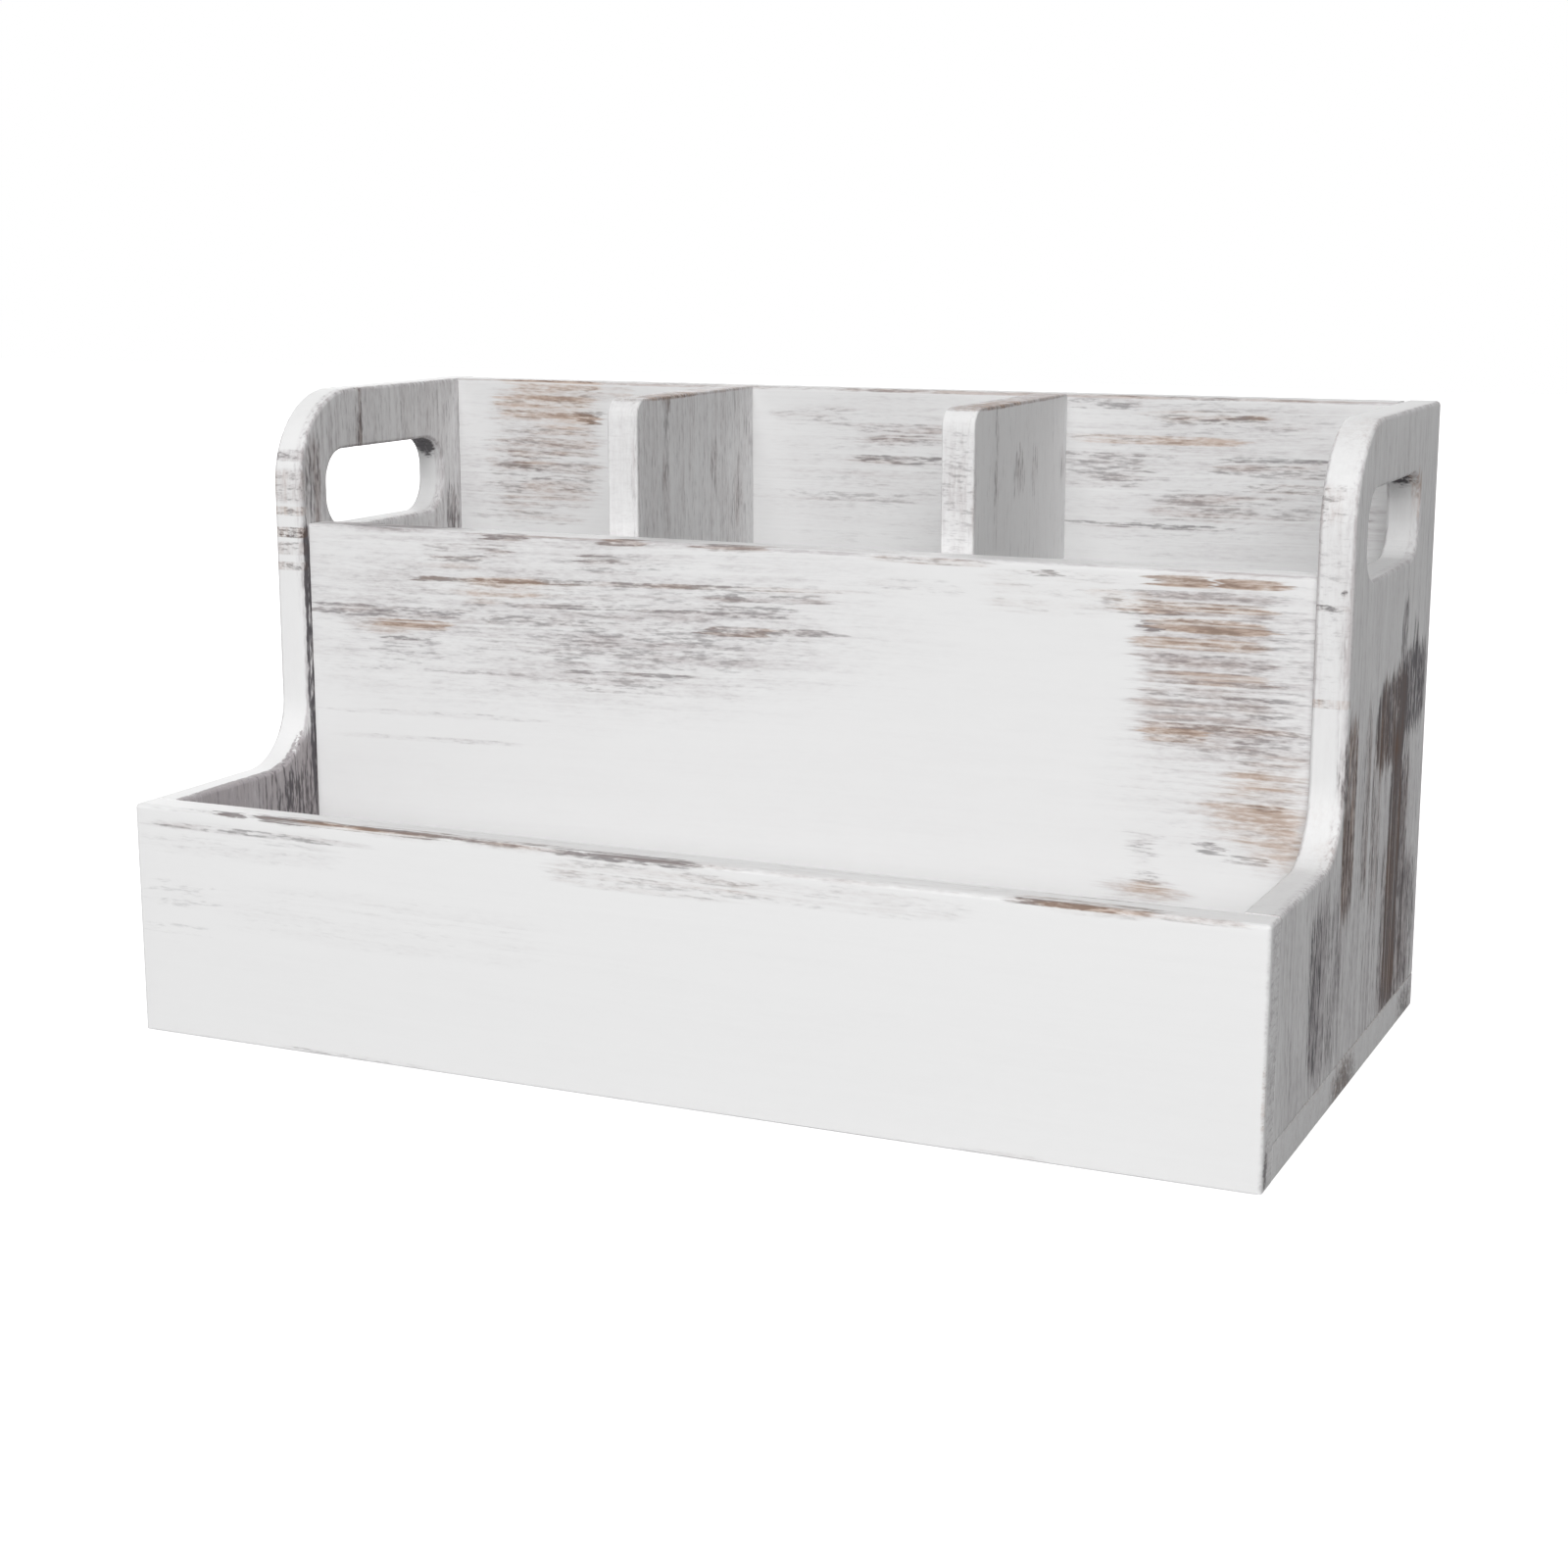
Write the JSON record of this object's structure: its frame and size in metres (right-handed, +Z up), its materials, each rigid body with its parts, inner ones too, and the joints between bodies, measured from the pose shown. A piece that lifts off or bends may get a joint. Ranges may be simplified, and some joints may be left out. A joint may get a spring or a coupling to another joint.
{
  "type": "utensil caddy",
  "caption": "Whitewashed wooden countertop utensil caddy with a low front tray, upright rear compartments and stepped side boards with rounded hand holes.",
  "frame": {"origin": "middle of the underside, on the surface that the caddy stands on", "axes": "+X across the caddy to the right as seen from the front, +Y from the front tray to the back board, +Z up"},
  "size_m": [0.305, 0.165, 0.166],
  "materials": {
    "whitewashed_wood": "thin white wash rubbed through to grey-brown grain, matt",
    "brad_steel": "bright wire, heads painted over"
  },
  "bodies": {
    "root": {"base_board": "whitewashed_wood", "left_side_board": "whitewashed_wood", "right_side_board": "whitewashed_wood", "front_board": "whitewashed_wood", "middle_panel": "whitewashed_wood", "left_divider": "whitewashed_wood", "right_divider": "whitewashed_wood", "back_board": "whitewashed_wood", "front_board_brads": "brad_steel", "side_board_brads": "brad_steel", "back_board_brads": "brad_steel", "middle_panel_brads": "brad_steel", "divider_brads": "brad_steel"}
  },
  "joints": []
}
